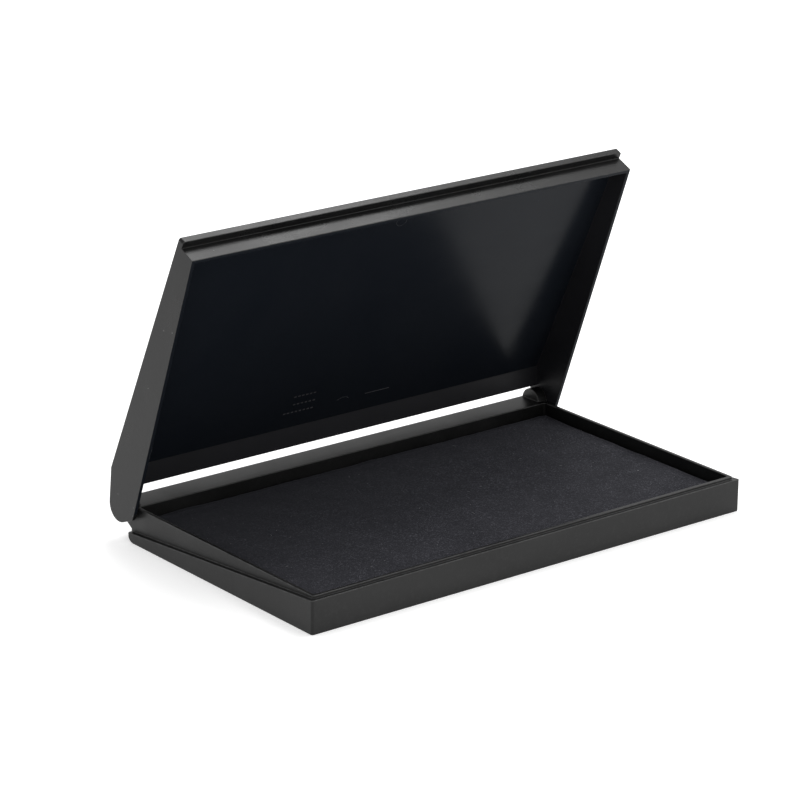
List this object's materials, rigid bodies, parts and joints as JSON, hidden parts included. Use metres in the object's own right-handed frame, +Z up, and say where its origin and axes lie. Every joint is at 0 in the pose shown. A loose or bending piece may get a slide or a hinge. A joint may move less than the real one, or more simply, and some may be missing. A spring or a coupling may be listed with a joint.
{
  "type": "ink pad",
  "caption": "Flat hinged case holding a cloth-covered felt ink pad, with a fold-back lid, a thumb lip and moulded pivot pins.",
  "frame": {"origin": "middle of the flat underside of the tray, on the surface it stands on", "axes": "+X along the hinge side, +Y from the opening side towards the hinge, +Z up"},
  "size_m": [0.166, 0.0988, 0.1013],
  "materials": {
    "case_plastic": "fine matt moulded black, worn lighter along the edges",
    "lid_plastic": "fine matt outside, smooth and glossy inside",
    "pad_cloth": "dark ink-soaked felted cloth with loose fibres",
    "ink_felt": "dense felt soaked with ink",
    "backing_card": "plain pressed card"
  },
  "bodies": {
    "case": {"tray": "case_plastic", "pad_cover": "pad_cloth", "ink_felt": "ink_felt", "backing_sheet": "backing_card"},
    "lid": {"lid": "lid_plastic"}
  },
  "joints": [
    {"name": "lid_hinge", "type": "hinge", "parent": "case", "child": "lid", "pos_m": [0, 0.0483, 0.0105], "axis": [-1, 0, 0], "range_deg": [-65.5, 114.5]}
  ]
}
